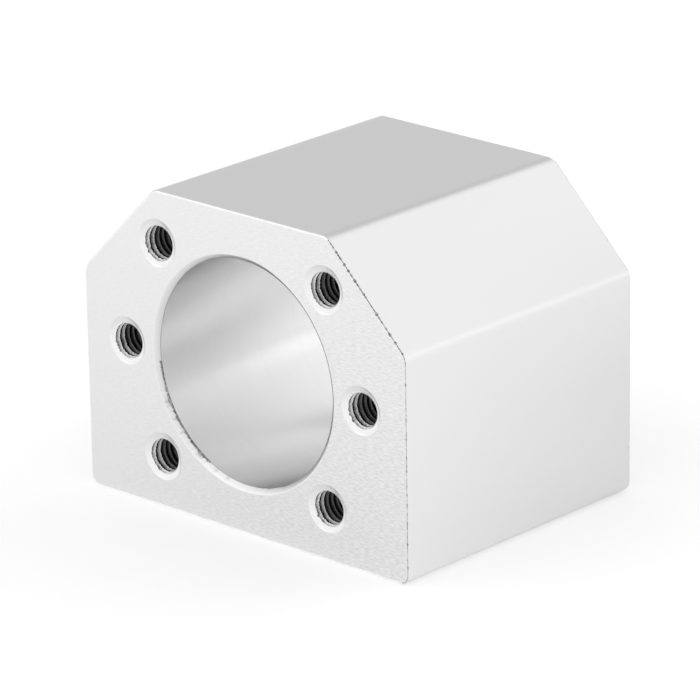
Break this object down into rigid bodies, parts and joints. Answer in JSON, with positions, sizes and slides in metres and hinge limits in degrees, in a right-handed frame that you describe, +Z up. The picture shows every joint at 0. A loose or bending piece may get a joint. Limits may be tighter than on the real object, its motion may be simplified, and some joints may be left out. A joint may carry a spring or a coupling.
{
  "type": "ball screw nut housing",
  "caption": "Block housing that holds a flanged ball screw nut in its bore, with tapped holes for the nut's flange and for mounting from below.",
  "frame": {"origin": "middle of the base face, in the plane halfway between the front and the rear face", "axes": "+X along the width, -Y out of the front face that the nut's flange is screwed to, along the bore, +Z up from the base"},
  "size_m": [0.052, 0.04, 0.04],
  "materials": {
    "aluminium": "bead blasted and clear anodised, with machined bore and threads"
  },
  "bodies": {
    "root": {"housing": "aluminium"}
  },
  "joints": []
}
